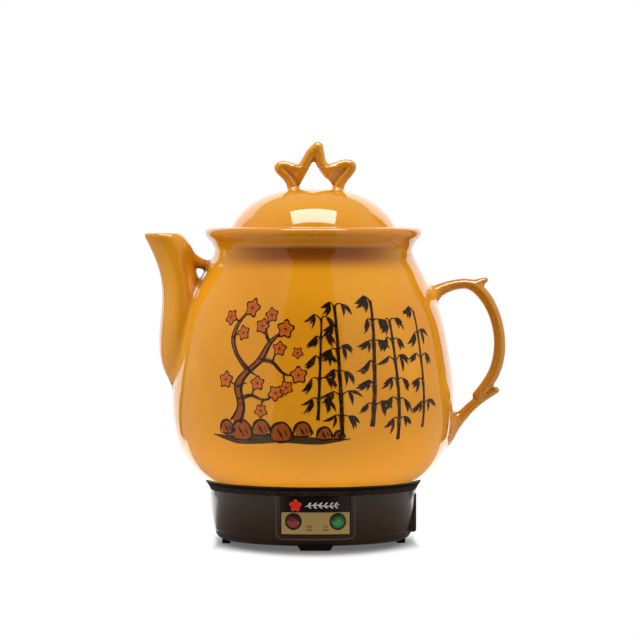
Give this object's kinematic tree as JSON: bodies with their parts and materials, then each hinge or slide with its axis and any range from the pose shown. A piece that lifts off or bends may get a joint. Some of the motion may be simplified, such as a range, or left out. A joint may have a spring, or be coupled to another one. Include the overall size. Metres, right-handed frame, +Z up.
{
  "type": "electric herbal medicine pot",
  "caption": "Electric decocting pot: glazed ceramic pot with spout, branch handle and lift-off lid, fixed in a heater base with two lamps and a power inlet.",
  "frame": {"origin": "on the pot's axis, at the level of the feet's undersides", "axes": "+Z up along the pot's axis, +X towards the handle, -X towards the spout, -Y towards the lamp panel"},
  "size_m": [0.2714, 0.211, 0.3008],
  "materials": {
    "amber_glaze": "glossy glaze",
    "rough_brown": "rough cast",
    "black_silicone": "satin",
    "satin_brown": "satin",
    "black_rubber": "matte",
    "panel_face": "satin print",
    "red_lens": "clear moulded",
    "green_lens": "clear moulded",
    "lamp_glass": "clear",
    "cast_aluminium": "cast",
    "element_steel": "drawn",
    "insulation_felt": "felt",
    "black_bakelite": "moulded",
    "white_plastic": "moulded",
    "black_plastic": "satin",
    "zinc_screw": "zinc plated",
    "brass_screw": "plated",
    "brass_pin": "nickel plated"
  },
  "bodies": {
    "pot": {"pot_body": "amber_glaze", "spout": "amber_glaze", "spout_bridge": "amber_glaze", "handle": "amber_glaze", "collar_ring": "rough_brown", "pot_seal": "black_silicone", "base_housing": "satin_brown", "bottom_cover": "satin_brown", "cover_screws": "zinc_screw", "feet": "black_rubber", "panel_plate": "panel_face", "red_lens": "red_lens", "green_lens": "green_lens", "red_lamp": "lamp_glass", "green_lamp": "lamp_glass", "heating_plate": "cast_aluminium", "heating_element": "element_steel", "insulation_pad": "insulation_felt", "heat_shield": "element_steel", "shield_screws": "zinc_screw", "thermostat": "black_bakelite", "thermostat_strap": "element_steel", "strap_screws": "zinc_screw", "thermal_fuse": "lamp_glass", "fuse_clip": "element_steel", "terminal_block": "white_plastic", "terminal_screws": "brass_screw", "power_inlet": "black_plastic", "inlet_pins": "brass_pin", "inlet_screws": "zinc_screw"},
    "lid": {"lid": "amber_glaze", "lid_knob": "amber_glaze"}
  },
  "joints": [
    {"name": "lid_lift", "type": "slide", "parent": "pot", "child": "lid", "axis": [0, 0, 1], "range_m": [0, 0.06]}
  ]
}
